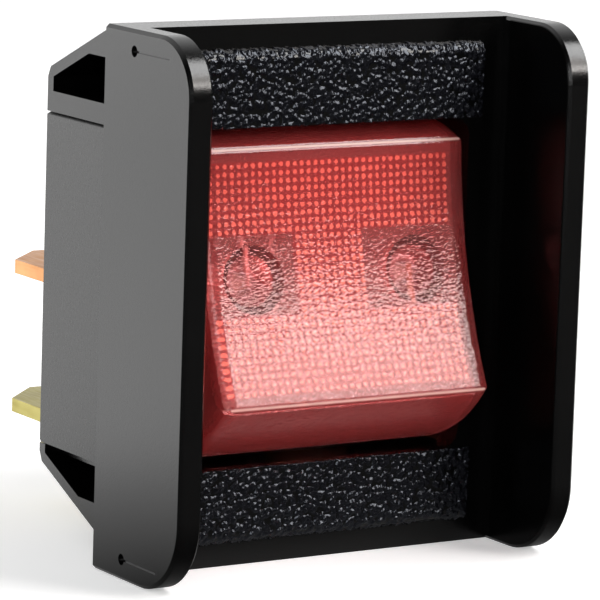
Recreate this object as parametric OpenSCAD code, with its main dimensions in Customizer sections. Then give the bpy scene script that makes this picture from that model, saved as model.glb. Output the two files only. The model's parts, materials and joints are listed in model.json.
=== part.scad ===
// Panel rocker switch: double pole, snap-in, with a lighted rocker between two guard walls.
// Millimetres. X to the right, Y to the back, Z up.
// Origin: middle of the flange's back face, which seats on the panel.
// The rocker is drawn at rest: its top end is pressed in and both poles are closed.

/* [Rocker] */
// Width of the rocker
rocker_w = 18.15; // [15:0.05:22]
// Radius of the rocker's ends about its pivot
rocker_r = 9.55; // [8.6:0.05:11.6]
// Distance from the pivot forward to the middle of the dished face
face_mid = 5.4; // [5.2:0.1:6.4]
// Radius of the dish in the face
dish_r = 36; // [24:1:60]
// Wall of the rocker behind its face
rocker_wall = 1.1; // [0.8:0.05:1.3]
// Wall of the rocker's sides and ends
rocker_side_wall = 0.8; // [0.7:0.05:1.1]
// Rounding of the edges where the face and the ends meet the sides
rocker_edge_r = 0.95; // [0.4:0.05:1]
// Rounding of the rocker's four corners, seen from the front
rocker_corner_r = 1.1; // [0.9:0.05:1.6]
// Depth of the flat broken on each crest of the rocker
crest_flat = 0.12; // [0.05:0.01:0.3]
// How far the rocker's skirt reaches behind the pivot
skirt_back = 0.35; // [0:0.05:0.5]
// Tilt of the rocker each way from the middle, in degrees
rocker_tilt = 14.5; // [10:0.5:15]
// Depth of the pivot behind the panel seat
pivot_depth = 0.8; // [0.6:0.1:1]
// Radius of a trunnion
trunnion_r = 1.5; // [1:0.1:1.8]
// Extra radius of the side wall's lobe round a trunnion
trunnion_boss = 1.2; // [0.8:0.1:1.4]

/* [Bezel] */
// Margin of the grained pad at each side of the rocker opening
pad_side = 0.875; // [0.2:0.025:1.5]
// Height of the grained pad above and below the opening
pad_end = 4.35; // [3:0.05:6]
// How far the pad stands out of the flange
pad_rise = 0.6; // [0.3:0.1:1]
// Thickness of the flange
flange_t = 2.6; // [2:0.1:4]
// Margin of the flange above and below the pad
flange_end = 1.4; // [1:0.1:4]
// Overhang of the flange past the body at each side
flange_side = 2.2; // [1.5:0.1:5]
// Thickness of a guard wall
guard_t = 1.5; // [1:0.1:1.8]
// How far a guard wall stands out in front of the flange
guard_reach = 6.8; // [4:0.1:10]
// Radius of a guard wall's upper front corner
guard_corner_r = 3.3; // [1:0.1:4]
// Radius of a guard wall's lower front corner
guard_low_corner_r = 4.3; // [1:0.1:5]
// Chamfer round the edges of a guard wall
guard_chamfer = 0.2; // [0.05:0.05:0.4]
// Distance of a parting mark from the guard wall's end
mark_inset = 1.2; // [0.8:0.1:2]
// Depth of a parting mark's groove
mark_depth = 0.12; // [0.05:0.01:0.2]
// Width of that groove
mark_w = 0.14; // [0.1:0.02:0.3]
// Distance of a parting mark's front end behind the guard wall's front
mark_front = 2.4; // [1.8:0.1:3]
// Distance of the mark's pit in front of the flange's face
mark_back = 0.6; // [0.4:0.1:1]
// Radius of the pit at the end of a parting mark
mark_pit_r = 0.32; // [0.2:0.02:0.4]
// Depth of the relief in the flange's back, inside its seating rim
seat_relief = 0.15; // [0.05:0.05:0.25]
// Wall of the collars behind the flange that carry the trunnions
collar_t = 0.75; // [0.7:0.05:1.2]
// How far the collars reach behind the flange
collar_depth = 3.1; // [2.9:0.1:3.6]

/* [Base] */
// Depth of the body behind the panel seat
body_depth = 10.5; // [10.1:0.1:14]
// Side wall of the base
base_wall = 0.925; // [0.8:0.025:1.5]
// Bottom wall of the base
bottom_wall = 0.45; // [0.4:0.05:0.6]
// Top wall of the base
top_wall = 1; // [0.8:0.1:1.2]
// Floor of the base, which carries the terminals
base_floor = 1.2; // [1:0.1:1.3]
// How far the base's top lies below the top of the rocker's swing
base_top_drop = 0.35; // [0.3:0.05:0.5]
// Barrier between the two poles
barrier_t = 1.2; // [0.8:0.1:1.6]
// Ribs that keep a blade in line
guide_rib_t = 0.5; // [0.4:0.05:0.6]
// Height of those ribs
guide_rib_h = 5.2; // [4:0.2:6]
// Chamfer along the base's outer edges
base_chamfer = 0.15; // [0.05:0.05:0.3]

/* [Snap wings] */
// Thickness of a strap's thin web
strap_t = 0.6; // [0.5:0.05:0.8]
// Height of a wing's tip over the upper strap
wing_rise = 4.45; // [4:0.05:5.5]
// Wall of a wing
wing_t = 0.65; // [0.5:0.05:0.8]
// How much less far the lower wing's tip stands out than the upper one's
lower_wing_drop = 0.4; // [0:0.1:0.6]
// Slope of a wing's outer face
wing_slope = 0.44; // [0.35:0.01:0.5]
// How far a wing's bend is set in from the back
wing_bend_in = 0.3; // [0.2:0.05:0.8]
// Height of the wing's thick gripping end
grip_h = 1.8; // [1.2:0.1:2]
// Height of one grip step
grip_step = 0.2; // [0.1:0.01:0.25]
// Depth of one grip step
grip_pitch = 0.6; // [0.4:0.05:0.7]
// Distance from the panel seat to the first grip step
grip_start = 1.5; // [1:0.1:1.8]
// Width of the latches between the base and the straps
latch_w = 6; // [4:0.5:7]
// Depth of a latch from front to back
latch_depth = 1.8; // [1.2:0.1:2]
// How far a latch stands out of the base
latch_rise = 0.35; // [0.2:0.05:0.4]
// Distance of the latches in front of the base's floor
latch_back = 2.5; // [1.5:0.1:3]

/* [Terminals] */
// Thickness of the terminal strip
strip_t = 0.81; // [0.7:0.01:0.85]
// Width of a quick-connect tab
tab_w = 6.35; // [6.3:0.01:6.4]
// Distance from the panel seat to the shoulders of a tab's point
tab_reach = 16.85; // [16:0.05:21]
// Length of a tab's 45 degree point
tab_point = 2.6; // [1:0.1:2.9]
// Radius of the detent hole in a tab
detent_r = 0.9; // [0.6:0.05:1.1]
// Distance from the shoulders back to the detent hole
detent_back = 1.4; // [1:0.1:2]
// Drop of the middle tabs below the pivot
mid_tab_drop = 1; // [0.9:0.05:1.3]

/* [Contacts] */
// Distance of each pole's inner side from the middle of the switch
pole_inner = 3.15; // [3:0.05:3.2]
// Width of a contact blade
blade_w = 4.6; // [4.4:0.1:4.6]
// Thickness of a contact blade
blade_t = 0.8; // [0.6:0.05:0.8]
// Length of a blade's contact arm
contact_arm = 7.9; // [7.9:0.05:8]
// Length of a blade's free arm
free_arm = 4.6; // [3.5:0.1:5]
// Swing of a blade from closed to open, in degrees
blade_swing = 14; // [10:0.5:14]
// Depth of the groove in a blade that rides on the terminal's edge
groove_depth = 0.3; // [0.26:0.01:0.35]
// Width of that groove at the blade's back
groove_w = 1.4; // [1:0.1:1.6]
// Radius of a moving contact button
button_r = 1.5; // [1.2:0.1:1.5]
// Height of a moving contact button
button_h = 0.5; // [0.4:0.05:0.6]
// Extra radius of the fixed contact button
fixed_extra_r = 0.1; // [0:0.05:0.1]
// Radius of a button's rivet shank
shank_r = 0.6; // [0.4:0.05:0.8]
// Radius of a rivet's upset head
rivet_r = 0.95; // [0.85:0.05:1.1]
// Height of a rivet's upset head
rivet_h = 0.2; // [0.1:0.05:0.3]

/* [Plungers] */
// Radius of a spring pocket in the rocker
pocket_r = 1.5; // [1.45:0.05:1.55]
// Outer radius of a spring pocket
pocket_outer_r = 2; // [1.9:0.05:2.05]
// Distance from the pivot back to the mouth of a pocket
pocket_mouth = 2.4; // [2:0.1:2.6]
// Height of the cone at the bottom of a pocket
pocket_cone = 0.6; // [0.3:0.1:0.7]
// Plastic left between the rocker's face wall and a pocket's bottom
pocket_floor = 0.7; // [0.6:0.05:0.8]
// Distance from the pivot back to the tip of a plunger
plunger_tip = 5.4; // [5.2:0.1:5.4]
// Distance from the pivot forward to a plunger's spring shoulder
plunger_shoulder = 0.2; // [0:0.1:0.3]
// Radius of the plunger's spigot inside the spring
spigot_r = 0.75; // [0.5:0.05:0.8]
// Length of the spigot
spigot_len = 1.2; // [0.8:0.1:1.5]
// Radius of the spring's turns, at the middle of the wire
spring_r = 1.1; // [1.05:0.05:1.2]
// Radius of the spring wire
spring_wire_r = 0.16; // [0.1:0.01:0.18]
// Turns of a spring
spring_turns = 6; // [4:1:7]

/* [Lamp] */
// Radius of the lamp's glass
lamp_r = 1.55; // [1.3:0.05:1.6]
// Length of the lamp's glass
lamp_len = 9; // [7:0.5:9.5]
// Distance from the rocker's end down to the middle of the lamp
lamp_drop = 4.85; // [4.8:0.05:4.95]
// Distance of the lamp in front of the pivot
lamp_front = 2.35; // [2.3:0.05:2.5]
// Radius of the lead wires
lead_r = 0.2; // [0.15:0.05:0.2]
// Radius of the resistor's body
resistor_r = 0.9; // [0.7:0.05:1]
// Length of the resistor's body
resistor_len = 3.6; // [3:0.1:4]
// Thickness of the tray that carries the lamp
tray_t = 0.8; // [0.6:0.1:0.8]
// Wall of the tray's saddles round the lamp and the resistor
saddle_t = 0.5; // [0.4:0.05:0.6]
// Distance from the middle to the inner sides of the lamp's two saddles
saddle_in = 1.4; // [1:0.1:1.5]
// Width of a lamp saddle
saddle_w = 0.9; // [0.6:0.1:1]

/* [Clearances] */
// Gap between the rocker and its opening at each side
rocker_side_gap = 0.15; // [0.1:0.05:0.3]
// Gap between the rocker's ends and the opening
rocker_end_gap = 0.2; // [0.15:0.05:0.35]
// Gap between the rocker's swinging ends and the straps and base
swing_gap = 0.3; // [0.2:0.05:0.4]
// Running clearance on the radius of the trunnions and plungers
running_gap = 0.06; // [0.03:0.01:0.09]
// Gap between pieces that are assembled and stay still
fit_gap = 0.05; // [0.03:0.01:0.08]
// Gap between a plunger and its blade at rest
nose_gap = 0.19; // [0.18:0.01:0.25]
// Gap between the closed contact buttons
button_gap = 0.04; // [0.02:0.01:0.08]
// Gap between a blade and its guide ribs or barrier
blade_gap = 0.15; // [0.1:0.05:0.2]
// Gap between the tray and the inside of the rocker
tray_gap = 0.1; // [0.05:0.05:0.15]
// Gap between the snap wings' tips and the seating rim of the flange
rim_gap = 0.05; // [0.03:0.01:0.1]

/* [Hidden] */
$fn = 48;
eps = 0.01;
LEFT = -1;
RIGHT = 1;

// Opening, pad and flange grow from the rocker.
opening_w = rocker_w + 2 * rocker_side_gap;
opening_h = 2 * (rocker_r + rocker_end_gap);
pad_w = opening_w + 2 * pad_side;
pad_h = opening_h + 2 * pad_end;
collar_x = opening_w / 2;
trunnion_x = collar_x + collar_t - 2 * fit_gap;
base_in_x = collar_x + collar_t + 3 * fit_gap;
body_w = 2 * (base_in_x + base_wall);
bezel_w = body_w + 2 * flange_side;
bezel_h = pad_h + 2 * flange_end;
face_y = -flange_t;
guard_front = face_y - guard_reach;
mark_z = bezel_h / 2 - mark_inset;

// Base, and the straps that clasp it.
base_top = rocker_r - base_top_drop;
base_in_bottom = rocker_r + swing_gap + 3 * fit_gap / 5;
base_front = fit_gap - seat_relief;
base_bottom = base_in_bottom + bottom_wall;
floor_y = body_depth - base_floor;
swing_room = 0.8;
sweep_y = pivot_depth + (rocker_r + skirt_back) * sin(rocker_tilt) + swing_room;
shelf_y = sweep_y + swing_room / 2;
web_in = rocker_r + swing_gap;
web_out = web_in + strap_t;
lower_web_in = base_bottom + fit_gap;
latch_y = floor_y - latch_back;
latch_gap = 4 * fit_gap;
wing_tip_z = web_out + wing_rise;

// Plunger nose, blade and contacts, worked out from front to back.
nose_r = pocket_r - running_gap;
nose_reach = plunger_tip - nose_r;
blade_front = pivot_depth + nose_reach * cos(rocker_tilt) + nose_r + nose_gap;
blade_back = blade_front + blade_t;
fulcrum_y = blade_back - groove_depth + button_gap;
fixed_face = blade_back + button_h + button_gap;
strip_front = floor_y - strip_t;
button_drop = contact_arm - button_r - 0.1;
pole_x = pole_inner + blade_w / 2;
end_tab_drop = base_in_bottom - fit_gap - strip_t / 2;
edge_len = 0.5;

// Rocker moulding and what it holds.
crest_centre = face_mid + dish_r;
crest_angle = acos((rocker_r * rocker_r + crest_centre * crest_centre - dish_r * dish_r)
                   / (2 * rocker_r * crest_centre));
crest_v = rocker_r * sin(crest_angle);
crest_lean = (crest_angle - asin(crest_v / dish_r)) / 2;
pocket_bottom = face_mid - rocker_wall - pocket_floor;
lead_depth = pocket_bottom - lead_r - 0.1;
spring_front = lead_depth - lead_r;
tray_front = plunger_shoulder + 0.4;
tray_r = rocker_r - rocker_side_wall - tray_gap;
tray_w = rocker_w - 2 * (rocker_side_wall + tray_gap);
lamp_up = rocker_r - lamp_drop;
resistor_front = tray_front + resistor_r + 0.1;
lamp_pinch = -lamp_len / 2;

// ---------- helpers ----------

// Extrudes an outline drawn in Y and Z along X, centred.
module along_x(width) rotate([90, 0, 90]) linear_extrude(width, center = true) children();

// Extrudes an outline drawn in X and Z along Y, from y0 back to y1.
module along_y(y0, y1) translate([0, y1, 0]) rotate([90, 0, 0]) linear_extrude(y1 - y0) children();

module x_cylinder(r, width) rotate([0, 90, 0]) cylinder(r = r, h = width, center = true);

module y_cylinder(r, y0, y1) translate([0, y0, 0]) rotate([-90, 0, 0]) cylinder(r = r, h = y1 - y0);

// A box given by its low and high corners.
module block(low, high) translate(low) cube(high - low);

// A rectangle with rounded corners, centred.
module rounded_rect(w, h, r) {
    square([w - 2 * r, h], center = true);
    square([w, h - 2 * r], center = true);
    for (sx = [-1, 1], sy = [-1, 1])
        translate([sx * (w / 2 - r), sy * (h / 2 - r)]) circle(r);
}

// Draws a shape as given and mirrored to the other side of the XY plane.
module top_and_bottom() for (down = [0, 1]) mirror([0, 0, down]) children();

// Draws a shape as given and mirrored to the other side of the YZ plane.
module both_sides() for (left = [0, 1]) mirror([left, 0, 0]) children();

// Mirrors a shape drawn for the right to the side asked for.
module on_side(side) mirror([side == LEFT ? 1 : 0, 0, 0]) children();

// Turns a shape drawn about the pivot, with the rocker level, into its rest place.
module at_rest() translate([0, pivot_depth, 0]) rotate([-rocker_tilt, 0, 0]) children();

// A wire from point to point, with round bends.
module wire(points) {
    for (i = [0 : len(points) - 2]) {
        span = points[i + 1] - points[i];
        translate(points[i])
            rotate([0, acos(span.z / norm(span)), atan2(span.y, span.x)])
                cylinder(r = lead_r, h = norm(span), $fn = 24);
    }
    for (i = [1 : len(points) - 2]) translate(points[i]) sphere(r = 1.03 * lead_r, $fn = 24);
}

// ---------- bezel frame ----------

// Section through a guard wall's rim: reach outwards, thickness across.
module guard_rim(reach) polygon([
    [0, -guard_t / 2], [reach - guard_chamfer, -guard_t / 2], [reach, -guard_t / 2 + guard_chamfer],
    [reach, guard_t / 2 - guard_chamfer], [reach - guard_chamfer, guard_t / 2], [0, guard_t / 2]]);

// Upper half of a guard wall, centred on its own thickness, with chamfered rims and a round front corner.
module half_guard(corner_r) {
    corner_y = guard_front + corner_r;
    corner_z = bezel_h / 2 - corner_r;
    block([-guard_t / 2, corner_y, -eps], [guard_t / 2, 0, corner_z]);
    translate([0, corner_y, -eps]) rotate([0, 0, -90]) linear_extrude(corner_z + eps) guard_rim(corner_r);
    translate([0, corner_y, corner_z]) {
        rotate([-90, -90, 0]) linear_extrude(-corner_y) guard_rim(corner_r);
        mirror([0, 1, 0]) rotate([90, 0, 90]) rotate_extrude(angle = 90) guard_rim(corner_r);
    }
}

// A guard wall: its lower front corner is rounder than the upper one.
module guard_wall() {
    half_guard(guard_corner_r);
    mirror([0, 0, 1]) half_guard(guard_low_corner_r);
}

// Parting mark pressed into the outer face of a guard wall: a fine groove with a pit at its end.
module guard_mark() {
    pit_y = face_y - mark_back;
    block([-mark_depth, guard_front + mark_front, -mark_w / 2], [1, pit_y, mark_w / 2]);
    translate([1 - 2 * mark_depth, pit_y, 0]) x_cylinder(mark_pit_r, 2, $fn = 24);
}

// The grained pad, with its top and bottom edges rounded over.
module pad() {
    flat_z = pad_h / 2 - pad_rise;
    block([-pad_w / 2, face_y - pad_rise, -flat_z], [pad_w / 2, face_y + eps, flat_z]);
    top_and_bottom() translate([0, face_y, flat_z]) intersection() {
        x_cylinder(pad_rise, pad_w);
        block([-pad_w, -pad_rise, 0], [pad_w, pad_rise, pad_rise]);
    }
}

// The flange, with a shallow relief behind it, so that only its rim seats on the panel.
module flange() difference() {
    block([-bezel_w / 2 + guard_t / 2, face_y, -bezel_h / 2], [bezel_w / 2 - guard_t / 2, 0, bezel_h / 2]);
    block([-body_w / 2 - 3 * rim_gap, -seat_relief, -wing_tip_z - rim_gap],
          [body_w / 2 + 3 * rim_gap, 1, wing_tip_z + rim_gap]);
}

// Outline of a snap wing in Y and Z, from its root at the back to its stepped grip.
module wing_outline(web, tip_z) {
    grip_end = grip_start + 3 * grip_pitch;
    bend_y = body_depth - wing_bend_in;
    bend_z = tip_z - wing_slope * (bend_y - grip_end);
    wall_z = wing_t * sqrt(1 + wing_slope * wing_slope);
    root_y = body_depth - wing_t;
    polygon([
        [root_y, web - strap_t], [body_depth, web - strap_t],
        [body_depth, bend_z - 2 * wing_bend_in], [bend_y, bend_z], [grip_end, tip_z],
        for (i = [1 : 3], back = [0, 1])
            [grip_end - (i - 1 + back) * grip_pitch, tip_z - i * grip_step],
        [grip_start, tip_z - grip_h], [grip_end + (grip_h - wall_z) / wing_slope, tip_z - grip_h],
        [root_y, tip_z - wall_z - wing_slope * (root_y - grip_end)]]);
}

// Upper strap: a thin web over the rocker, thicker where it lies on the base, and side ribs.
module upper_strap() {
    block([-body_w / 2, -seat_relief - eps, web_in], [body_w / 2, body_depth, web_out]);
    block([-body_w / 2, shelf_y, base_top + fit_gap], [body_w / 2, body_depth, web_out]);
    both_sides() block([base_in_x, -seat_relief - eps, base_top + fit_gap],
                       [body_w / 2, body_depth, web_out]);
    along_x(body_w) wing_outline(web_out, wing_tip_z);
}

// Lower strap: one thin web under the base.
module lower_strap() mirror([0, 0, 1]) {
    block([2 * fit_gap - base_in_x, -seat_relief - eps, lower_web_in],
          [base_in_x - 2 * fit_gap, body_depth, lower_web_in + strap_t]);
    along_x(body_w) wing_outline(lower_web_in + strap_t, wing_tip_z - lower_wing_drop);
}

// Windows through the straps' thin webs for the base's latches.
module latch_windows() top_and_bottom()
    block([-latch_w / 2 - latch_gap, latch_y - latch_depth / 2 - latch_gap, base_top],
          [latch_w / 2 + latch_gap, latch_y + latch_depth / 2 + latch_gap, lower_web_in + strap_t + fit_gap]);

module bezel_frame() color("#1d1d1f") difference() {
    union() {
        flange();
        both_sides() translate([(bezel_w - guard_t) / 2, 0, 0]) guard_wall();
        pad();
        both_sides() block([collar_x, -seat_relief - eps, -base_top],
                           [collar_x + collar_t, collar_depth, base_top]);
        upper_strap();
        lower_strap();
    }
    along_y(face_y - pad_rise - 1, 1) rounded_rect(opening_w, opening_h, rocker_corner_r);
    translate([0, pivot_depth, 0]) x_cylinder(trunnion_r + running_gap, 2 * (collar_x + collar_t) + 0.1);
    latch_windows();
    both_sides() top_and_bottom() translate([bezel_w / 2, 0, mark_z]) guard_mark();
}

// ---------- base housing ----------

// The base's outer form: chamfered at the back and along its upper seam.
module base_body() intersection() {
    along_x(body_w) polygon([
        [base_front, -base_bottom], [body_depth - base_chamfer, -base_bottom],
        [body_depth, -base_bottom + base_chamfer], [body_depth, base_top - base_chamfer],
        [body_depth - base_chamfer, base_top], [base_front, base_top]]);
    along_y(base_front, body_depth) polygon([
        [-body_w / 2, -base_bottom], [body_w / 2, -base_bottom], [body_w / 2, base_top - base_chamfer],
        [body_w / 2 - base_chamfer, base_top], [base_chamfer - body_w / 2, base_top],
        [-body_w / 2, base_top - base_chamfer]]);
}

// The inside, open to the front and, over the rocker's swing, to the top.
module base_cavity() {
    block([-base_in_x, -1, -base_in_bottom], [base_in_x, floor_y, base_top - top_wall]);
    block([-base_in_x, -1, 0], [base_in_x, shelf_y - fit_gap, base_top + 1]);
}

// Slot through the floor for a tab, with a notch in the outer guide rib for its shoulder.
module tab_slot(drop)
    block([pole_inner - fit_gap, strip_front - fit_gap, -drop - strip_t / 2 - fit_gap],
          [pole_inner + tab_w + fit_gap, body_depth + 1, -drop + strip_t / 2 + fit_gap]);

module latch(z) block([-latch_w / 2, latch_y - latch_depth / 2, z - eps],
                      [latch_w / 2, latch_y + latch_depth / 2, z + latch_rise]);

module base_housing() color("#202023") difference() {
    union() {
        difference() {
            base_body();
            base_cavity();
        }
        block([-barrier_t / 2, sweep_y, -base_in_bottom - eps],
              [barrier_t / 2, floor_y + eps, base_top - top_wall + eps]);
        both_sides() for (edge = [pole_inner - blade_gap - guide_rib_t, pole_inner + blade_w + blade_gap])
            block([edge, fulcrum_y - 0.3, -guide_rib_h / 2],
                  [edge + guide_rib_t, floor_y + eps, guide_rib_h / 2]);
        latch(base_top);
        mirror([0, 0, 1]) latch(base_bottom);
    }
    both_sides() for (drop = [mid_tab_drop, end_tab_drop]) tab_slot(drop);
}

// ---------- rocker ----------

// Rounds the rocker's ends about the pivot, with soft side edges.
module end_drum() rotate([0, 90, 0]) rotate_extrude($fn = 96) intersection() {
    rounded_rect(2 * rocker_r, rocker_w, rocker_edge_r);
    translate([0, -rocker_w / 2]) square([rocker_r, rocker_w]);
}

// The wheel whose rim cuts the dish; the rim flares so that the side edges come out round.
module dish_wheel() translate([0, -face_mid - dish_r, 0]) rotate([0, 90, 0])
    rotate_extrude($fn = 180) difference() {
        translate([dish_r - 8, -rocker_w]) square([8 + rocker_edge_r, 2 * rocker_w]);
        translate([dish_r, rocker_edge_r - rocker_w / 2])
            square([2 * rocker_edge_r, rocker_w - 2 * rocker_edge_r]);
        for (side = [-1, 1]) translate([dish_r + rocker_edge_r, side * (rocker_w / 2 - rocker_edge_r)])
            circle(rocker_edge_r);
    }

// Breaks the sharp crest where the dish meets an end.
module crest_cut() translate([0, -rocker_r * cos(crest_angle), crest_v]) rotate([-crest_lean, 0, 0])
    block([-rocker_w, -1, -2], [rocker_w, crest_flat, 2]);

module rocker_outside() difference() {
    intersection() {
        end_drum();
        along_y(-rocker_r, skirt_back) rounded_rect(rocker_w, 2 * rocker_r, rocker_corner_r);
    }
    dish_wheel();
    top_and_bottom() crest_cut();
}

// The space behind the face wall, between the side and end walls.
module rocker_inside() difference() {
    x_cylinder(rocker_r - rocker_side_wall, rocker_w - 2 * rocker_side_wall, $fn = 96);
    translate([0, rocker_wall - face_mid - dish_r, 0]) x_cylinder(dish_r, rocker_w, $fn = 180);
}

// A spring pocket with a conical bottom, drilled through at one side for a lead.
module pocket_bore(side) {
    y_cylinder(pocket_r, -pocket_bottom, pocket_mouth + 1);
    translate([0, eps - pocket_bottom, 0]) rotate([90, 0, 0])
        cylinder(r1 = pocket_r, r2 = 0, h = pocket_cone);
    mirror([0, 0, side == LEFT ? 0 : 1]) translate([0, -lead_depth, 0])
        cylinder(r = lead_r + fit_gap, h = pocket_outer_r + 1, $fn = 24);
}

module rocker_lens() color("#d2202b") at_rest() difference() {
    union() {
        difference() {
            rocker_outside();
            rocker_inside();
        }
        both_sides() {
            translate([pole_x, 0, 0]) y_cylinder(pocket_outer_r, -face_mid + rocker_wall / 2, pocket_mouth);
            translate([(rocker_w - rocker_side_wall) / 2, 0, 0])
                x_cylinder(trunnion_r + trunnion_boss, rocker_side_wall);
            translate([(rocker_w / 2 - rocker_side_wall + trunnion_x) / 2, 0, 0])
                x_cylinder(trunnion_r, trunnion_x - rocker_w / 2 + rocker_side_wall);
        }
    }
    for (side = [LEFT, RIGHT]) translate([side * pole_x, 0, 0]) pocket_bore(side);
}

// The tray's plate, with saddles for the lamp and the resistor, trimmed to the rocker's round inside.
module tray_body() intersection() {
    union() {
        along_y(-tray_front, tray_t - tray_front) rounded_rect(tray_w, 2 * tray_r - 0.3, 0.5);
        both_sides() block([saddle_in, -lamp_front, lamp_up - lamp_r - saddle_t],
                           [saddle_in + saddle_w, -tray_front + eps, lamp_up + lamp_r + saddle_t]);
        block([-saddle_t, -resistor_front, -lamp_up - resistor_r - saddle_t],
              [saddle_t, -tray_front + eps, -lamp_up + resistor_r + saddle_t]);
    }
    x_cylinder(tray_r, rocker_w);
}

// The tray inside the rocker, opened round the spring pockets.
module lamp_tray() color("#e8e4da") at_rest() difference() {
    tray_body();
    translate([0, -lamp_front, lamp_up]) x_cylinder(lamp_r + fit_gap, tray_w);
    translate([0, -resistor_front, -lamp_up]) x_cylinder(resistor_r + fit_gap, tray_w);
    both_sides() translate([pole_x, 0, 0]) {
        y_cylinder(pocket_outer_r + fit_gap, -tray_front - 1, tray_t);
        block([0, -tray_front - 1, -pocket_r], [tray_w / 2, tray_t, pocket_r]);
    }
}

// A sealed glass tube with a round tip at the right and a flat pinch at the left.
module neon_lamp() color("#ffb27d") at_rest() translate([0, -lamp_front, lamp_up]) {
    translate([-lamp_r / 4, 0, 0]) x_cylinder(lamp_r, lamp_len - 1.5 * lamp_r);
    translate([lamp_len / 2 - lamp_r, 0, 0]) sphere(r = lamp_r);
    block([lamp_pinch, -0.5, -lamp_r + 0.2], [lamp_pinch + lamp_r, 0.5, lamp_r - 0.2]);
}

// From the bottom of the left spring pocket to the lamp's pinch.
module lamp_lead() color("#c9c4ba") at_rest() on_side(LEFT) wire([
    [pole_x, -lead_depth, -0.5], [pole_x, -lead_depth, lamp_up + 0.5],
    [pole_x, -lamp_front, lamp_up + 0.5], [-lamp_pinch, -lamp_front, lamp_up + 0.5]]);

// From the lamp's pinch down between the pockets to the resistor.
module link_lead() color("#c9c4ba") at_rest() {
    low = lamp_up - lamp_r - 0.45;
    inner = pole_x - pocket_outer_r - 0.6;
    wire([
        [lamp_pinch, -lamp_front, lamp_up - 0.5], [lamp_pinch - 0.45, -lamp_front, lamp_up - 0.5],
        [lamp_pinch - 0.45, -lamp_front, low], [-inner, -lamp_front, low],
        [-inner, -resistor_front, -lamp_up], [-resistor_len / 2, -resistor_front, -lamp_up]]);
}

// The series resistor, with the lead that runs to the right spring pocket.
module lamp_resistor() color("#b98b5e") at_rest() {
    translate([0, -resistor_front, -lamp_up]) x_cylinder(resistor_r, resistor_len);
    wire([
        [resistor_len / 2 - 0.2, -resistor_front, -lamp_up], [pole_x, -resistor_front, -lamp_up],
        [pole_x, -lead_depth, -lamp_up], [pole_x, -lead_depth, 0.5]]);
}

// ---------- plungers ----------

module plunger(side) color("#efe9dc") at_rest() translate([side * pole_x, 0, 0]) {
    y_cylinder(nose_r, -plunger_shoulder, nose_reach);
    translate([0, nose_reach, 0]) sphere(r = nose_r);
    y_cylinder(spigot_r, -plunger_shoulder - spigot_len, -plunger_shoulder + eps);
}

// A coil of wire between the lead at the pocket's bottom and the plunger's shoulder.
module plunger_spring(side) {
    ring = 6;
    steps = 14 * spring_turns;
    low = -spring_front + spring_wire_r;
    high = -plunger_shoulder - spring_wire_r - 0.01;
    points = [for (i = [0 : steps], j = [0 : ring - 1])
        let (turn = i * 360 * spring_turns / steps, around = j * 360 / ring,
             r = spring_r + spring_wire_r * cos(around))
        [r * cos(turn), low + (high - low) * i / steps + spring_wire_r * sin(around), r * sin(turn)]];
    sides = [for (i = [0 : steps - 1], j = [0 : ring - 1])
        let (k = (j + 1) % ring)
        [i * ring + j, i * ring + k, (i + 1) * ring + k, (i + 1) * ring + j]];
    ends = [[for (j = [0 : ring - 1]) ring - 1 - j], [for (j = [0 : ring - 1]) steps * ring + j]];
    color("#b9bcc0") at_rest() translate([side * pole_x, 0, 0]) polyhedron(points, concat(sides, ends));
}

// ---------- contacts ----------

// A bent blade that rocks on the middle terminal's edge.
module contact_blade(side) color("#c8843e") translate([side * pole_x, fulcrum_y, 0]) difference() {
    front = blade_front - fulcrum_y;
    back = blade_back - fulcrum_y;
    union() {
        block([-blade_w / 2, front, -contact_arm], [blade_w / 2, back, 0]);
        rotate([blade_swing, 0, 0]) block([-blade_w / 2, front, 0], [blade_w / 2, back, free_arm]);
    }
    along_x(blade_w + 1) polygon([[-button_gap, 0], [back + 0.1, -groove_w / 2], [back + 0.1, groove_w / 2]]);
    translate([0, 0, -button_drop]) y_cylinder(shank_r + fit_gap, front - 1, back + 1);
}

// A rivet-type contact button: its head behind the blade, its shank upset in front.
module moving_contact(side) color("#d9dadb") translate([side * pole_x, 0, -button_drop]) {
    y_cylinder(button_r, blade_back, blade_back + button_h);
    y_cylinder(shank_r, blade_front - eps, blade_back + eps);
    y_cylinder(rivet_r, blade_front - rivet_h, blade_front);
}

module fixed_contact(side) color("#d9dadb") translate([side * pole_x, 0, -button_drop]) {
    y_cylinder(button_r + fixed_extra_r, fixed_face, strip_front);
    y_cylinder(shank_r, strip_front - eps, floor_y);
}

// ---------- terminals ----------

// A quick-connect tab lying flat, from the inside of the floor to its 45 degree point.
module tab(drop) translate([pole_inner, 0, -drop - strip_t / 2]) linear_extrude(strip_t) difference() {
    polygon([
        [0, strip_front], [tab_w, strip_front], [tab_w, tab_reach],
        [tab_w - tab_point, tab_reach + tab_point],
        [tab_point, tab_reach + tab_point], [0, tab_reach]]);
    translate([tab_w / 2, tab_reach - detent_back]) circle(detent_r);
}

// The middle terminal: a tab that steps up inside to the edge on which the blade rocks.
module center_terminal(side) color("#c98d55") on_side(side) {
    tab(mid_tab_drop);
    translate([pole_x, 0, 0]) along_x(blade_w) polygon([
        [fulcrum_y, 0], [fulcrum_y + edge_len, strip_t / 2], [floor_y, strip_t / 2],
        [floor_y, -mid_tab_drop - strip_t / 2], [strip_front, -mid_tab_drop - strip_t / 2],
        [strip_front, -strip_t / 2], [fulcrum_y + edge_len, -strip_t / 2]]);
}

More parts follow.
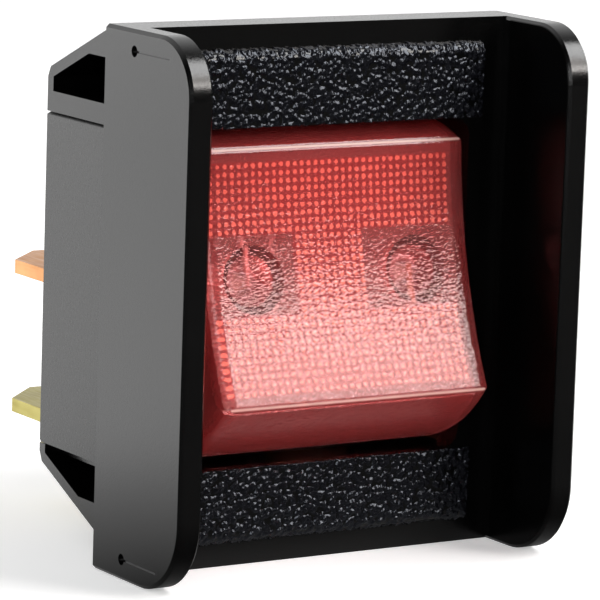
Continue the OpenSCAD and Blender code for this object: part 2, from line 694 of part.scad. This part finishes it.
// The end terminal: a tab that turns up inside to carry the fixed contact.
module end_terminal(side) color("#c3ad4f") on_side(side) difference() {
    union() {
        tab(end_tab_drop);
        block([pole_inner, strip_front, -end_tab_drop - strip_t / 2],
              [pole_inner + blade_w, floor_y, button_r - button_drop]);
    }
    translate([pole_x, 0, -button_drop]) y_cylinder(shank_r + fit_gap, strip_front - 1, floor_y + eps);
}

bezel_frame();
base_housing();
rocker_lens();
lamp_tray();
neon_lamp();
lamp_lead();
link_lead();
lamp_resistor();
plunger(LEFT);  // plunger_left
plunger(RIGHT);  // plunger_right
plunger_spring(LEFT);  // plunger_spring_left
plunger_spring(RIGHT);  // plunger_spring_right
contact_blade(LEFT);  // contact_blade_left
contact_blade(RIGHT);  // contact_blade_right
moving_contact(LEFT);  // moving_contact_left
moving_contact(RIGHT);  // moving_contact_right
center_terminal(LEFT);  // center_terminal_left
center_terminal(RIGHT);  // center_terminal_right
end_terminal(LEFT);  // end_terminal_left
end_terminal(RIGHT);  // end_terminal_right
fixed_contact(LEFT);  // fixed_contact_left
fixed_contact(RIGHT);  // fixed_contact_right
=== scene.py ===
"""Looks of a panel rocker switch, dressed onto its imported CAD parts. Lengths are in metres."""

import json
import math

import bpy
from mathutils import Matrix, Vector


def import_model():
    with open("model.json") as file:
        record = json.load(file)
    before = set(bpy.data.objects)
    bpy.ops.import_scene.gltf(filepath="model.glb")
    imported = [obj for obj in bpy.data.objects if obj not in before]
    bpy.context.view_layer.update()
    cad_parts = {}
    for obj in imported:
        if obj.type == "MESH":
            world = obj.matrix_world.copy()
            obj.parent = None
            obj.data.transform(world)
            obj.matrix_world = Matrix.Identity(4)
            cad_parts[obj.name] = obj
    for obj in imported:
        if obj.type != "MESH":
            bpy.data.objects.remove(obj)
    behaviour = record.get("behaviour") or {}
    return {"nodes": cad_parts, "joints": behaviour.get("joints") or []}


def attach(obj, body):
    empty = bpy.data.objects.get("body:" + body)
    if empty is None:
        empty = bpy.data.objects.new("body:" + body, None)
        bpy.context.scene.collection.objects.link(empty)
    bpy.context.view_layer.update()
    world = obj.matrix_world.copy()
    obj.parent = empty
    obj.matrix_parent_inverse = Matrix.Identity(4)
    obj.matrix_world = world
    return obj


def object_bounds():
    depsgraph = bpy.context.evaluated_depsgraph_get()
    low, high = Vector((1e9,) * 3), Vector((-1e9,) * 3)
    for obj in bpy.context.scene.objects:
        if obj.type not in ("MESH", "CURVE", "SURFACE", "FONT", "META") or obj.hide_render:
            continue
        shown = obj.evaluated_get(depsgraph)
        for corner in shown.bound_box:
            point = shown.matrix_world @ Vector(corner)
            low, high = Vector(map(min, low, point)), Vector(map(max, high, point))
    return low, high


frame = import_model()
CAD_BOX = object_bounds()

MM = 0.001

# The rocker's pivot and its tilt at rest come from its joint.
HINGE = next(j for j in frame["joints"] if j["name"] == "rocker_hinge")
PIVOT = Vector(HINGE["pos_m"])
TILT = math.radians(HINGE["range_deg"][1] / 2)

# Rocker moulding, in its own level frame.
FACE_MID = 5.4 * MM
DISH_R = 36.0 * MM
WALL = 1.1 * MM
CREST_TOP = (0.0, -3.32 * MM, 8.61 * MM)
CREST_BOTTOM = (0.0, -6.98 * MM, -5.53 * MM)

# Prism grid on the back of the rocker's face.
PRISM_PITCH = 0.4625 * MM
PRISM_RISE = 0.2 * MM
PRISM_COLUMNS = 35
PRISM_ROWS = 29
WINDOW_LEFT = -5.5 * PRISM_PITCH
WINDOW_RIGHT = 4.5 * PRISM_PITCH
WINDOW_LOW = -4.5 * PRISM_PITCH
WINDOW_HIGH = 5.5 * PRISM_PITCH

# Grained pads above and below the rocker.
PAD_HALF_W = 10.1 * MM
PAD_INNER_Z = 9.75 * MM
PAD_OUTER_Z = 14.1 * MM
PAD_RISE = 0.6 * MM

FLANGE_FRONT = -2.6 * MM
GUARD_INNER_X = 11.8 * MM

FLOOR_HALF_W = 1.5


# ---------------------------------------------------------------- shader building

class Shader:
    """A material's node tree round one Principled shader, with short calls for what the finishes need."""

    def __init__(self, name, **values):
        self.material = bpy.data.materials.new(name)
        self.material.use_nodes = True
        self.tree = self.material.node_tree
        self.nodes = self.tree.nodes
        self.surface = self.nodes["Principled BSDF"]
        self.output = self.nodes["Material Output"]
        for socket, value in values.items():
            self.surface.inputs[socket.replace("_", " ")].default_value = value
        self.place = self.add("TexCoord").outputs["Object"]

    def add(self, kind, **settings):
        node = self.nodes.new("ShaderNode" + kind)
        for key, value in settings.items():
            setattr(node, key, value)
        return node

    def join(self, source, target):
        self.tree.links.new(source, target)

    def noise(self, size, detail=2.0, roughness=0.5, vector=None):
        """A noise whose lumps are about size across. Its factor is returned."""
        node = self.add("TexNoise")
        node.inputs["Scale"].default_value = 1.0 / size
        node.inputs["Detail"].default_value = detail
        node.inputs["Roughness"].default_value = roughness
        self.join(vector or self.place, node.inputs["Vector"])
        return node.outputs["Fac"]

    def stretched(self, x, y, z):
        """The place, stretched along the axes."""
        node = self.add("Mapping")
        node.inputs["Scale"].default_value = (x, y, z)
        self.join(self.place, node.inputs["Vector"])
        return node.outputs["Vector"]

    def range(self, factor, low, high, start=0.3, end=0.7):
        """Maps a factor's start..end to low..high."""
        node = self.add("MapRange")
        self.join(factor, node.inputs["Value"])
        for name, value in (("From Min", start), ("From Max", end), ("To Min", low), ("To Max", high)):
            node.inputs[name].default_value = value
        return node.outputs["Result"]

    def math(self, operation, a, b):
        node = self.add("Math", operation=operation)
        for value, socket in zip((a, b), node.inputs):
            if isinstance(value, bpy.types.NodeSocket):
                self.join(value, socket)
            else:
                socket.default_value = value
        return node.outputs[0]

    def ramp(self, factor, *stops):
        """A colour ramp of (position, colour) stops."""
        node = self.add("ValToRGB")
        elements = node.color_ramp.elements
        while len(elements) < len(stops):
            elements.new(0.5)
        for element, (position, colour) in zip(elements, stops):
            element.position = position
            element.color = (*colour, 1.0)
        self.join(factor, node.inputs["Fac"])
        return node.outputs["Color"]

    def near_line(self, at):
        """1 close to a line along X through that point, 0 away from it."""
        flat = self.add("VectorMath", operation="MULTIPLY")
        flat.inputs[1].default_value = (0.0, 1.0, 1.0)
        self.join(self.place, flat.inputs[0])
        away = self.add("VectorMath", operation="DISTANCE")
        away.inputs[1].default_value = at
        self.join(flat.outputs[0], away.inputs[0])
        return self.range(away.outputs["Value"], 1.0, 0.0, 0.1 * MM, 0.18 * MM)

    def bump(self, height, depth):
        """A bump of that depth in metres."""
        node = self.add("Bump")
        node.inputs["Strength"].default_value = 1.0
        node.inputs["Distance"].default_value = depth
        self.join(height, node.inputs["Height"])
        return node.outputs["Normal"]

    def use(self, socket, source):
        self.join(source, self.surface.inputs[socket])


def grey(level):
    return (level, level, level)


# ---------------------------------------------------------------- finishes

def between_guards(s):
    """1 on the guards' inner faces, which are dull, and 0 elsewhere."""
    at = s.add("SeparateXYZ")
    s.join(s.place, at.inputs[0])
    inside = s.math("LESS_THAN", s.math("ABSOLUTE", at.outputs["X"], 0.0), GUARD_INNER_X)
    in_front = s.math("LESS_THAN", at.outputs["Y"], FLANGE_FRONT - PAD_RISE - 0.05 * MM)
    return s.math("MULTIPLY", inside, in_front)


def black_plastic(name, level, grain_size, grain_depth, roughness):
    """Moulded black plastic with a fine spark-eroded grain and faint flow marks."""
    s = Shader(name, IOR=1.5)
    flow = s.noise(4 * MM, detail=4.0, roughness=0.6)
    fine = s.noise(grain_size, detail=3.0, roughness=0.7)
    s.use("Base Color", s.ramp(flow, (0.3, grey(level * 0.7)), (0.7, grey(level * 1.4))))
    s.use("Roughness", s.range(fine, roughness - 0.06, roughness + 0.06))
    s.use("Normal", s.bump(fine, grain_depth))
    s.use("Specular IOR Level", s.range(between_guards(s), 0.5, 0.1, 0.0, 1.0))
    return s.material


def pad_plastic():
    """The pads' coarse grain is geometry; this adds its gloss and a finer tooth."""
    s = Shader("pad_plastic", IOR=1.5, Specular_Tint=(0.82, 0.88, 1.0, 1.0))
    tooth = s.noise(0.12 * MM, detail=3.0)
    s.use("Base Color", s.ramp(tooth, (0.3, (0.002, 0.002, 0.003)), (0.7, (0.005, 0.005, 0.007))))
    s.use("Roughness", s.range(tooth, 0.16, 0.3))
    s.use("Normal", s.bump(tooth, 0.005 * MM))
    return s.material


def cloud_and_light(s, haze_and_crest_highlight, amount, tint):
    """Clouds a clear material with a diffuse share, and lets lamps shine through it, tinted."""
    haze = s.add("BsdfDiffuse")
    s.join(haze_and_crest_highlight, haze.inputs["Color"])
    body = s.add("MixShader")
    s.join(amount, body.inputs["Fac"])
    s.join(s.surface.outputs["BSDF"], body.inputs[1])
    s.join(haze.outputs["BSDF"], body.inputs[2])
    path = s.add("LightPath")
    clear = s.add("BsdfTransparent")
    clear.inputs["Color"].default_value = (*tint, 1.0)
    mix = s.add("MixShader")
    s.join(path.outputs["Is Shadow Ray"], mix.inputs["Fac"])
    s.join(body.outputs["Shader"], mix.inputs[1])
    s.join(clear.outputs["BSDF"], mix.inputs[2])
    s.join(mix.outputs["Shader"], s.output.inputs["Surface"])


def red_lens():
    """Clear red plastic whose outer skin has a fine, slightly slanting grain, with a painted highlight of
    pale haze along its crests.
    """
    s = Shader("red_lens", IOR=1.49, Base_Color=(0.88, 0.44, 0.43, 1.0), Roughness=0.1,
               Transmission_Weight=0.97)
    slant = s.add("Mapping")
    slant.inputs["Rotation"].default_value = (0.0, math.radians(-42), 0.0)
    slant.inputs["Scale"].default_value = (0.6, 1.0, 1.0)
    s.join(s.place, slant.inputs["Vector"])
    grain = s.noise(0.17 * MM, detail=1.0, vector=slant.outputs["Vector"])
    s.use("Normal", s.bump(grain, 0.03 * MM))
    # Painted highlight: near both crests the haze turns pale and its share rises, standing in for the
    # highlight line a rounded crest edge would catch.
    crest_highlight = s.math("MAXIMUM", s.near_line(CREST_TOP), s.near_line(CREST_BOTTOM))
    haze_and_crest_highlight = s.ramp(crest_highlight, (0.0, (0.6, 0.05, 0.05)), (1.0, (1.0, 0.75, 0.65)))
    cloud_and_light(s, haze_and_crest_highlight, s.range(crest_highlight, 0.15, 0.6, 0.0, 1.0), (0.9, 0.55, 0.55))
    return s.material


def prism_red():
    """Red prisms with painted light: pale tips as a painted highlight, dark red flanks and sheet between them
    as painted shade.
    """
    s = Shader("prism_red", Roughness=0.35, IOR=1.49)
    tip = s.add("Attribute", attribute_name="tip").outputs["Fac"]
    # Painted highlight and shade: tips pale like lit glints, flanks and the sheet between the cones dark like
    # shaded gaps.
    s.use("Base Color", s.ramp(tip, (0.0, (0.22, 0.008, 0.008)), (1.0, (1.0, 0.66, 0.45))))
    return s.material


def strip_metal(name, colour, pale):
    """Rolled strip with fine streaks along it and a faint tarnish."""
    s = Shader(name, Metallic=1.0)
    streaks = s.noise(0.2 * MM, detail=3.0, vector=s.stretched(1.0, 0.08, 1.0))
    tarnish = s.noise(3 * MM, detail=3.0)
    s.use("Base Color", s.ramp(tarnish, (0.3, colour), (0.75, pale)))
    s.use("Roughness", s.range(streaks, 0.3, 0.5))
    s.use("Normal", s.bump(streaks, 0.004 * MM))
    return s.material


def plain_plastic(name, colour, roughness):
    """Moulded plastic with a slight unevenness."""
    s = Shader(name)
    flow = s.noise(2 * MM, detail=3.0)
    s.use("Base Color", s.ramp(flow, (0.3, tuple(c * 0.93 for c in colour)), (0.7, colour)))
    s.use("Roughness", s.range(flow, roughness - 0.05, roughness + 0.05))
    return s.material


def plain_metal(name, colour, roughness):
    s = Shader(name, Metallic=1.0)
    drawn = s.noise(0.1 * MM, detail=2.0)
    s.use("Base Color", s.ramp(drawn, (0.3, tuple(c * 0.9 for c in colour)), (0.7, colour)))
    s.use("Roughness", s.range(drawn, roughness - 0.08, roughness + 0.08))
    return s.material


def lamp_glass():
    s = Shader("lamp_glass", IOR=1.5, Roughness=0.02, Transmission_Weight=0.9)
    tone = s.noise(1.5 * MM)
    s.use("Base Color", s.ramp(tone, (0.3, (1.0, 0.82, 0.62)), (0.7, (1.0, 0.88, 0.72))))
    return s.material


FINISHES = {
    "bezel_frame": black_plastic("bezel_plastic", 0.001, 0.12 * MM, 0.006 * MM, 0.19),
    "base_housing": black_plastic("base_plastic", 0.002, 0.16 * MM, 0.01 * MM, 0.3),
    "rocker_lens": red_lens(),
    # The tray's dark brown is painted shade: it stands in for the dim, shaded inside of the rocker seen
    # through its windows.
    "lamp_tray": plain_plastic("tray_plastic", (0.16, 0.1, 0.09), 0.5),
    "neon_lamp": lamp_glass(),
    "lamp_resistor": plain_plastic("resistor_lacquer", (0.62, 0.45, 0.28), 0.35),
    "plunger": plain_plastic("plunger_plastic", (0.8, 0.76, 0.66), 0.4),
    "plunger_spring": plain_metal("spring_steel", (0.62, 0.62, 0.63), 0.3),
    "lead": plain_metal("tinned_wire", (0.78, 0.76, 0.72), 0.35),
    "contact_blade": strip_metal("blade_copper", (0.72, 0.38, 0.22), (0.8, 0.48, 0.3)),
    "contact": plain_metal("contact_silver", (0.86, 0.86, 0.84), 0.3),
    "center_terminal": strip_metal("terminal_copper", (0.5, 0.22, 0.08), (0.68, 0.36, 0.15)),
    "end_terminal": strip_metal("terminal_brass", (0.32, 0.27, 0.07), (0.45, 0.4, 0.13)),
}
PAD_FINISH = pad_plastic()
PRISM_FINISH = prism_red()


def finish_for(node):
    """The finish of a CAD node: its own, or its family's."""
    if node in FINISHES:
        return FINISHES[node]
    if node.endswith("_lead"):
        return FINISHES["lead"]
    family = node.removesuffix("_left").removesuffix("_right")
    if family in FINISHES:
        return FINISHES[family]
    return FINISHES["contact"]


def dress_cad_nodes():
    for name, obj in frame["nodes"].items():
        finish = finish_for(name)
        if obj.material_slots:
            for held in obj.material_slots:
                held.material = finish
        else:
            obj.data.materials.append(finish)


# ---------------------------------------------------------------- geometry nodes

class Growth:
    """A Geometry Nodes tree with named inputs, built and then applied to make a plain mesh."""

    def __init__(self, name):
        self.tree = bpy.data.node_groups.new(name, "GeometryNodeTree")
        self.tree.interface.new_socket("Geometry", in_out="INPUT", socket_type="NodeSocketGeometry")
        self.tree.interface.new_socket("Geometry", in_out="OUTPUT", socket_type="NodeSocketGeometry")
        self.values = {}
        self.start = self.tree.nodes.new("NodeGroupInput")

    def size(self, name, value):
        """A named length or number that the tree takes in."""
        kind = "NodeSocketInt" if isinstance(value, int) else "NodeSocketFloat"
        socket = self.tree.interface.new_socket(name, in_out="INPUT", socket_type=kind)
        self.values[socket.identifier] = value
        return self.start.outputs[name]

    def add(self, kind, inputs=None, **settings):
        node = self.tree.nodes.new(kind)
        for key, value in settings.items():
            setattr(node, key, value)
        for key, value in (inputs or {}).items():
            if isinstance(value, bpy.types.NodeSocket):
                self.tree.links.new(value, node.inputs[key])
            else:
                node.inputs[key].default_value = value
        return node

    def math(self, operation, a, b=0.0):
        return self.add("ShaderNodeMath", {0: a, 1: b}, operation=operation).outputs[0]

    def end(self, geometry, material):
        realized = self.add("GeometryNodeRealizeInstances", {"Geometry": geometry})
        painted = self.add("GeometryNodeSetMaterial", {"Geometry": realized.outputs[0], "Material": material})
        out = self.tree.nodes.new("NodeGroupOutput")
        self.tree.links.new(painted.outputs[0], out.inputs[0])

    def grow(self, name, base=None):
        """Runs the tree on a mesh, or on nothing, and returns the result as a plain object."""
        seed = bpy.data.objects.new(name + "_seed", base or bpy.data.meshes.new(name + "_seed"))
        bpy.context.scene.collection.objects.link(seed)
        modifier = seed.modifiers.new("growth", "NODES")
        modifier.node_group = self.tree
        for identifier, value in self.values.items():
            modifier[identifier] = value
        bpy.context.view_layer.update()
        evaluated = seed.evaluated_get(bpy.context.evaluated_depsgraph_get())
        mesh = bpy.data.meshes.new_from_object(evaluated)
        bpy.data.objects.remove(seed)
        obj = bpy.data.objects.new(name, mesh)
        mesh.name = name
        bpy.context.scene.collection.objects.link(obj)
        return obj


def thicken(obj, thickness, offset):
    """Gives a sheet a wall and applies it."""
    wall = obj.modifiers.new("wall", "SOLIDIFY")
    wall.thickness = thickness
    wall.offset = offset
    evaluated = obj.evaluated_get(bpy.context.evaluated_depsgraph_get())
    mesh = bpy.data.meshes.new_from_object(evaluated)
    obj.modifiers.remove(wall)
    obj.data = mesh


def piece(obj, body):
    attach(obj, body)
    return obj


# ---------------------------------------------------------------- prisms behind the rocker's face

def rocker_place():
    """Takes (x, along the rocker, forward out of its face) to the row frame, with the rocker at rest."""
    level = Matrix(((1, 0, 0, 0), (0, 0, -1, 0), (0, 1, 0, 0), (0, 0, 0, 1)))
    return Matrix.Translation(PIVOT) @ Matrix.Rotation(-TILT, 4, "X") @ level


def prism_tree():
    """A grid of blunt little cones with two windows left open, bent to the rocker's dish."""
    g = Growth("prism_grid")
    pitch = g.size("Pitch", PRISM_PITCH)
    columns = g.size("Columns", PRISM_COLUMNS)
    rows = g.size("Rows", PRISM_ROWS)
    rise = g.size("Rise", PRISM_RISE)
    tip_r = g.size("Tip radius", 0.3 * PRISM_PITCH)
    foot_r = g.size("Foot radius", 0.46 * PRISM_PITCH)
    left = g.size("Left window's edge", WINDOW_LEFT)
    right = g.size("Right window's edge", WINDOW_RIGHT)
    low = g.size("Windows' lower edge", WINDOW_LOW)
    high = g.size("Windows' upper edge", WINDOW_HIGH)
    dish = g.size("Dish radius", DISH_R)
    cells = g.add("GeometryNodeMeshGrid", {
        "Size X": g.math("MULTIPLY", pitch, columns), "Size Y": g.math("MULTIPLY", pitch, rows),
        "Vertices X": g.math("ADD", columns, 1.0), "Vertices Y": g.math("ADD", rows, 1.0)})
    at = g.add("ShaderNodeSeparateXYZ", {0: g.add("GeometryNodeInputPosition").outputs[0]})
    x, z = at.outputs["X"], at.outputs["Y"]
    outside = g.math("ADD", g.math("LESS_THAN", x, left), g.math("GREATER_THAN", x, right))
    level = g.math("MULTIPLY", g.math("GREATER_THAN", z, low), g.math("LESS_THAN", z, high))
    sheet = g.add("GeometryNodeDeleteGeometry", {
        "Geometry": cells.outputs["Mesh"], "Selection": g.math("MULTIPLY", outside, level)}, domain="FACE")
    centres = g.add("GeometryNodeMeshToPoints", {"Mesh": sheet.outputs[0]}, mode="FACES")
    cone = g.add("GeometryNodeMeshCone", {
        "Vertices": 12, "Radius Top": tip_r, "Radius Bottom": foot_r, "Depth": rise})
    tipped = g.add("GeometryNodeStoreNamedAttribute", {
        "Geometry": cone.outputs["Mesh"], "Name": "tip", "Value": cone.outputs["Top"]},
        data_type="FLOAT", domain="FACE")
    stood = g.add("GeometryNodeInstanceOnPoints", {
        "Points": centres.outputs[0], "Instance": tipped.outputs[0]})
    cones = g.add("GeometryNodeRealizeInstances", {"Geometry": stood.outputs[0]})
    whole = g.add("GeometryNodeJoinGeometry")
    g.tree.links.new(sheet.outputs[0], whole.inputs[0])
    g.tree.links.new(cones.outputs[0], whole.inputs[0])
    again = g.add("ShaderNodeSeparateXYZ", {0: g.add("GeometryNodeInputPosition").outputs[0]})
    up = again.outputs["Y"]
    square = g.math("SUBTRACT", g.math("MULTIPLY", dish, dish), g.math("MULTIPLY", up, up))
    sag = g.math("SUBTRACT", dish, g.math("SQRT", square))
    lift = g.add("ShaderNodeCombineXYZ", {"Z": sag})
    bent = g.add("GeometryNodeSetPosition", {"Geometry": whole.outputs[0], "Offset": lift.outputs[0]})
    g.end(bent.outputs[0], PRISM_FINISH)
    return g


def lens_prisms():
    """The prisms stand just behind the inside of the rocker's face."""
    obj = prism_tree().grow("lens_prisms")
    obj.data.transform(Matrix.Translation((0, 0, FACE_MID - WALL - PRISM_RISE - 0.03 * MM)))
    obj.data.transform(rocker_place())
    return piece(obj, "rocker")


# ---------------------------------------------------------------- grained pads

def pad_sheet(name, sign):
    """A fine sheet over a pad: flat, then rounding over the pad's outer edge."""
    step = 0.055 * MM
    flat = PAD_OUTER_Z - PAD_RISE - PAD_INNER_Z
    arc = PAD_RISE * math.pi / 2
    rows = round((flat + arc) / step)
    columns = round(2 * PAD_HALF_W / step)
    profile = []
    for i in range(rows + 1):
        along = (flat + arc) * i / rows
        if along <= flat:
            profile.append((FLANGE_FRONT - PAD_RISE, PAD_INNER_Z + along))
        else:
            turn = (along - flat) / PAD_RISE
            profile.append((FLANGE_FRONT - PAD_RISE * math.cos(turn),
                            PAD_OUTER_Z - PAD_RISE + PAD_RISE * math.sin(turn)))
    points = [(-PAD_HALF_W + 2 * PAD_HALF_W * c / columns, y, sign * z)
              for y, z in profile for c in range(columns + 1)]
    faces = []
    for r in range(rows):
        for c in range(columns):
            a = r * (columns + 1) + c
            quad = (a, a + 1, a + columns + 2, a + columns + 1)
            faces.append(quad if sign > 0 else quad[::-1])
    mesh = bpy.data.meshes.new(name)
    mesh.from_pydata(points, [], faces)
    return mesh


def grain_tree():
    """Pushes a sheet's points along its normal in rounded, worm-like lumps."""
    g = Growth("pad_grain")
    height = g.size("Height", 0.17 * MM)
    lump = g.size("Lumps per metre", 1.0 / (0.34 * MM))
    seed = g.size("Seed", 3.0)
    place = g.add("GeometryNodeInputPosition").outputs[0]
    wander = g.add("ShaderNodeTexNoise", {
        "Vector": place, "Scale": g.math("MULTIPLY", lump, 0.6), "W": seed}, noise_dimensions="4D")
    shift = g.add("ShaderNodeVectorMath", {0: wander.outputs["Color"]}, operation="SCALE")
    shift.inputs["Scale"].default_value = 0.5 * MM
    moved = g.add("ShaderNodeVectorMath", {0: place, 1: shift.outputs[0]}, operation="ADD")
    cells = g.add("ShaderNodeTexVoronoi", {
        "Vector": moved.outputs[0], "Scale": lump, "Smoothness": 0.35}, feature="SMOOTH_F1")
    domes = g.math("SUBTRACT", 1.0, cells.outputs["Distance"])
    fine = g.add("ShaderNodeTexNoise", {
        "Vector": place, "Scale": g.math("MULTIPLY", lump, 2.2), "Detail": 2.0})
    mixed = g.math("ADD", g.math("MULTIPLY", domes, 1.2), g.math("MULTIPLY", fine.outputs["Fac"], 0.7))
    normal = g.add("GeometryNodeInputNormal").outputs[0]
    rise = g.math("MULTIPLY", g.math("SUBTRACT", mixed, 0.75), height)
    push = g.add("ShaderNodeVectorMath", {0: normal, "Scale": rise}, operation="SCALE")
    geometry = g.add("GeometryNodeSetPosition", {
        "Geometry": g.start.outputs["Geometry"], "Offset": push.outputs[0]})
    g.end(geometry.outputs[0], PAD_FINISH)
    return g


def grained_pads():
    tree = grain_tree()
    for name, sign in (("pad_grain_top", 1), ("pad_grain_bottom", -1)):
        obj = tree.grow(name, pad_sheet(name, sign))
        thicken(obj, 0.15 * MM, -1)
        for polygon in obj.data.polygons:
            polygon.use_smooth = True
        piece(obj, "housing")


# ---------------------------------------------------------------- studio

def bearing(azimuth, elevation):
    """The direction of a bearing in radians: azimuth 0 is straight in front, positive to the right."""
    return Vector((math.sin(azimuth) * math.cos(elevation), -math.cos(azimuth) * math.cos(elevation),
                   math.sin(elevation)))


def camera():
    azimuth, elevation, roll = (math.radians(a) for a in (-32.35, 9.72, 1.91))
    aim = Vector((-1.838, -3.0, -0.303)) * MM
    back = bearing(azimuth, elevation)
    data = bpy.data.cameras.new("camera")
    data.lens = 260.1
    data.sensor_width = 36.0
    data.clip_start = 0.01
    obj = bpy.data.objects.new("camera", data)
    bpy.context.scene.collection.objects.link(obj)
    turn = back.to_track_quat("Z", "Y").to_matrix().to_4x4()
    obj.matrix_world = Matrix.Translation(aim + back * 246.56 * MM) @ turn @ Matrix.Rotation(roll, 4, "Z")
    bpy.context.scene.camera = obj


def softbox(name, azimuth, elevation, distance, width, height, power, colour=(1, 1, 1)):
    """An area lamp that looks at the switch from that bearing in degrees."""
    away = bearing(math.radians(azimuth), math.radians(elevation))
    data = bpy.data.lights.new(name, "AREA")
    data.shape = "RECTANGLE"
    data.size, data.size_y = width, height
    data.energy = power
    data.color = colour
    obj = bpy.data.objects.new(name, data)
    bpy.context.scene.collection.objects.link(obj)
    obj.matrix_world = Matrix.Translation(away * distance) @ away.to_track_quat("Z", "Y").to_matrix().to_4x4()


def world():
    """White to the camera and through glass; in mirrors and as light it is white behind and dark in front."""
    made = bpy.data.worlds.new("studio")
    bpy.context.scene.world = made
    made.use_nodes = True
    nodes, links = made.node_tree.nodes, made.node_tree.links
    background = nodes["Background"]
    background.inputs["Color"].default_value = (1, 1, 1, 1)
    toward = nodes.new("ShaderNodeSeparateXYZ")
    links.new(nodes.new("ShaderNodeTexCoord").outputs["Generated"], toward.inputs[0])
    room = nodes.new("ShaderNodeMapRange")
    for name, value in (("From Min", -0.1), ("From Max", 0.45), ("To Min", 0.02), ("To Max", 1.0)):
        room.inputs[name].default_value = value
    links.new(toward.outputs["Y"], room.inputs["Value"])
    path = nodes.new("ShaderNodeLightPath")
    seen = nodes.new("ShaderNodeMath")
    seen.operation = "MAXIMUM"
    links.new(path.outputs["Is Camera Ray"], seen.inputs[0])
    links.new(path.outputs["Is Transmission Ray"], seen.inputs[1])
    brighter = nodes.new("ShaderNodeMath")
    brighter.operation = "MAXIMUM"
    links.new(seen.outputs[0], brighter.inputs[0])
    links.new(room.outputs["Result"], brighter.inputs[1])
    links.new(brighter.outputs[0], background.inputs["Strength"])


def floor():
    """A floor that is white to the camera; in mirrors it is bright behind the switch and dark in front."""
    lowest = CAD_BOX[0][2]
    mesh = bpy.data.meshes.new("floor")
    half = FLOOR_HALF_W
    corners = [(-half, -half, lowest), (half, -half, lowest), (half, half, lowest), (-half, half, lowest)]
    mesh.from_pydata(corners, [], [(0, 1, 2, 3)])
    obj = bpy.data.objects.new("floor", mesh)
    bpy.context.scene.collection.objects.link(obj)
    s = Shader("floor_paper", Roughness=0.9, Emission_Color=(1.0, 1.0, 1.0, 1.0))
    path = s.add("LightPath")
    toward = s.add("SeparateXYZ")
    s.join(s.place, toward.inputs[0])
    behind = s.range(toward.outputs["Y"], 0.0, 1.0, -10 * MM, 30 * MM)
    mirrored_front = s.math("MULTIPLY", path.outputs["Is Glossy Ray"], s.math("SUBTRACT", 1.0, behind))
    mirrored_back = s.math("MULTIPLY", path.outputs["Is Glossy Ray"], behind)
    s.use("Base Color", s.ramp(mirrored_front, (0.0, grey(0.9)), (1.0, grey(0.015))))
    lift = s.math("MULTIPLY", path.outputs["Is Camera Ray"], 0.4)
    s.use("Emission Strength", s.math("MAXIMUM", lift, mirrored_back))
    obj.data.materials.append(s.material)


def studio():
    scene = bpy.context.scene
    scene.view_settings.view_transform = "Standard"
    world()
    floor()
    softbox("softbox_sheen", 37, 21.5, 0.5, 0.22, 0.06, 0.6, (1.0, 0.96, 0.92))
    softbox("softbox_fade", 38, 32, 0.5, 0.24, 0.12, 0.5, (1.0, 0.96, 0.92))
    softbox("softbox_key", 52, 48, 0.5, 0.3, 0.18, 1.5)
    softbox("softbox_fill", -36, 14, 0.5, 0.3, 0.2, 0.9)
    softbox("softbox_left", -152, 0, 0.5, 0.3, 0.3, 0.6)


camera()
dress_cad_nodes()
lens_prisms()
grained_pads()
studio()
